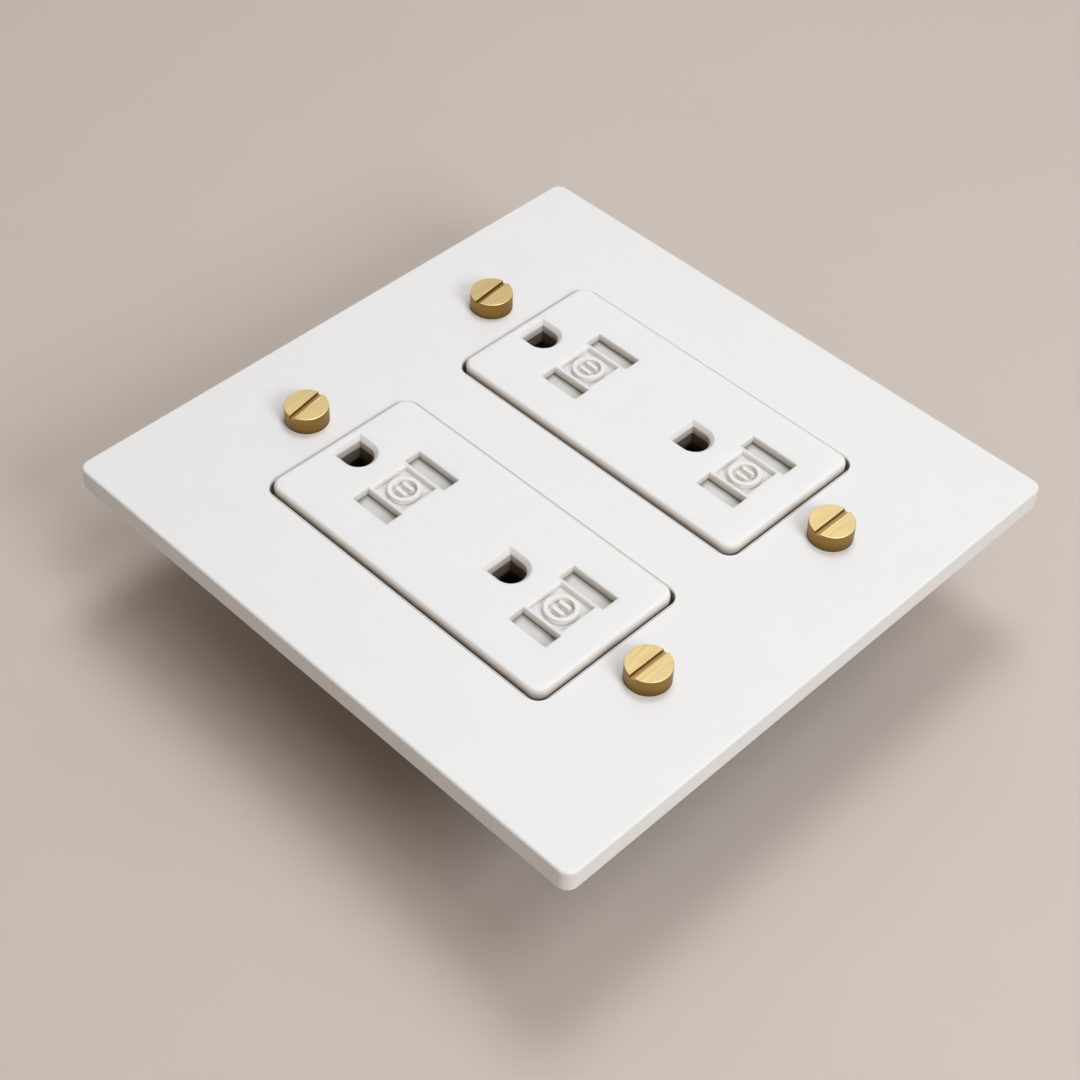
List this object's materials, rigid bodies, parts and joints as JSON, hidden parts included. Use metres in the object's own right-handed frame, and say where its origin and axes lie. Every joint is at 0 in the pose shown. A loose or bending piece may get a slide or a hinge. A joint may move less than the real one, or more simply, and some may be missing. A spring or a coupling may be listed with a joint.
{
  "type": "duplex receptacle",
  "caption": "Flat square wall plate with slotted cylinder-head screws around rectangular duplex receptacles, each with shuttered blade slots and ground holes.",
  "frame": {"origin": "middle of the plate on the wall plane, which is the back of the gasket", "axes": "+Z out of the wall towards the user, +Y towards the ground-hole end of the outlets, +X towards the neutral side"},
  "size_m": [0.12, 0.12, 0.0352],
  "materials": {
    "plate_coat": "matte white powder coat",
    "gasket_rubber": "matte black",
    "plate_screw_brass": "fine brushed, lacquered",
    "retainer_fibre": "pressed fibre, dull red-brown",
    "cover_plastic": "white, fine satin mould texture",
    "carrier_plastic": "dark warm grey moulding",
    "shutter_plastic": "light grey, smooth",
    "spring_steel": "bright spring strip",
    "strap_steel": "zinc-plated, pressed",
    "contact_brass": "rolled strip, pressed",
    "rivet_steel": "plated",
    "terminal_nickel": "nickel-plated",
    "terminal_brass": "bright",
    "ground_screw_green": "green dyed plating",
    "housing_plastic": "dark warm grey, moulded",
    "assembly_steel": "zinc-plated"
  },
  "bodies": {
    "plate_and_devices": {"wall_plate": "plate_coat", "wall_gasket": "gasket_rubber", "plate_screws": "plate_screw_brass", "screw_retainers": "retainer_fibre", "left_front_cover": "cover_plastic", "left_shutter_carrier": "carrier_plastic", "left_upper_shutter_spring": "spring_steel", "left_lower_shutter_spring": "spring_steel", "left_mounting_strap": "strap_steel", "left_ground_clips": "contact_brass", "left_ground_rivets": "rivet_steel", "left_neutral_contacts": "contact_brass", "left_hot_contacts": "contact_brass", "left_neutral_terminal_screws": "terminal_nickel", "left_hot_terminal_screws": "terminal_brass", "left_ground_screw": "ground_screw_green", "left_rear_housing": "housing_plastic", "left_assembly_screws": "assembly_steel", "right_front_cover": "cover_plastic", "right_shutter_carrier": "carrier_plastic", "right_upper_shutter_spring": "spring_steel", "right_lower_shutter_spring": "spring_steel", "right_mounting_strap": "strap_steel", "right_ground_clips": "contact_brass", "right_ground_rivets": "rivet_steel", "right_neutral_contacts": "contact_brass", "right_hot_contacts": "contact_brass", "right_neutral_terminal_screws": "terminal_nickel", "right_hot_terminal_screws": "terminal_brass", "right_ground_screw": "ground_screw_green", "right_rear_housing": "housing_plastic", "right_assembly_screws": "assembly_steel"},
    "left_upper_shutter": {"left_upper_shutter": "shutter_plastic"},
    "left_lower_shutter": {"left_lower_shutter": "shutter_plastic"},
    "right_upper_shutter": {"right_upper_shutter": "shutter_plastic"},
    "right_lower_shutter": {"right_lower_shutter": "shutter_plastic"}
  },
  "joints": [
    {"name": "left_upper_shutter_slide", "type": "slide", "parent": "plate_and_devices", "child": "left_upper_shutter", "axis": [1, 0, 0], "range_m": [0, 0.0043], "stiffness_N_per_m": 120, "deforming": ["left_upper_shutter_spring"]},
    {"name": "left_lower_shutter_slide", "type": "slide", "parent": "plate_and_devices", "child": "left_lower_shutter", "axis": [1, 0, 0], "range_m": [0, 0.0043], "stiffness_N_per_m": 120, "deforming": ["left_lower_shutter_spring"]},
    {"name": "right_upper_shutter_slide", "type": "slide", "parent": "plate_and_devices", "child": "right_upper_shutter", "axis": [1, 0, 0], "range_m": [0, 0.0043], "stiffness_N_per_m": 120, "deforming": ["right_upper_shutter_spring"]},
    {"name": "right_lower_shutter_slide", "type": "slide", "parent": "plate_and_devices", "child": "right_lower_shutter", "axis": [1, 0, 0], "range_m": [0, 0.0043], "stiffness_N_per_m": 120, "deforming": ["right_lower_shutter_spring"]}
  ]
}
